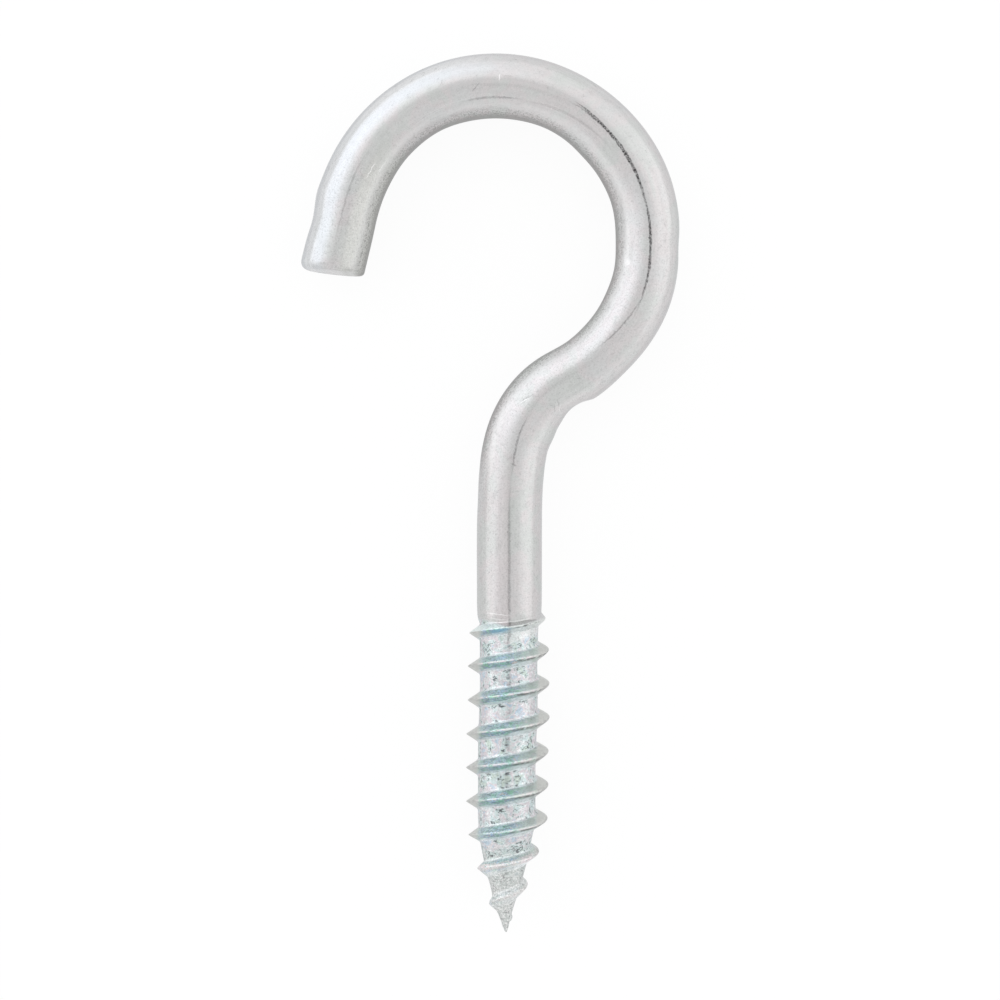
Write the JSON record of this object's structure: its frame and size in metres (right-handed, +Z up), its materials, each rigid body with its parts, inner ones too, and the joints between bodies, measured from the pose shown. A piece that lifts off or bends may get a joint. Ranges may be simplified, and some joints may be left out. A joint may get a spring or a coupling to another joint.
{
  "type": "screw hook",
  "caption": "Open round hook bent from one steel wire, on an offset neck and plain shank, with a coarse right-hand wood thread and gimlet point.",
  "frame": {"origin": "middle of the outline seen from above, on the surface the hook lies on, under the crests of the thread", "axes": "+Z up with the hook lying on its side, the screw's axis along Y with its point at -Y and the crown of the hook at +Y, the mouth of the hook looking to -X"},
  "size_m": [0.0344, 0.08, 0.0075],
  "materials": {
    "zinc_plated_steel": "satin bright zinc plating"
  },
  "bodies": {
    "root": {"screw_hook": "zinc_plated_steel"}
  },
  "joints": []
}
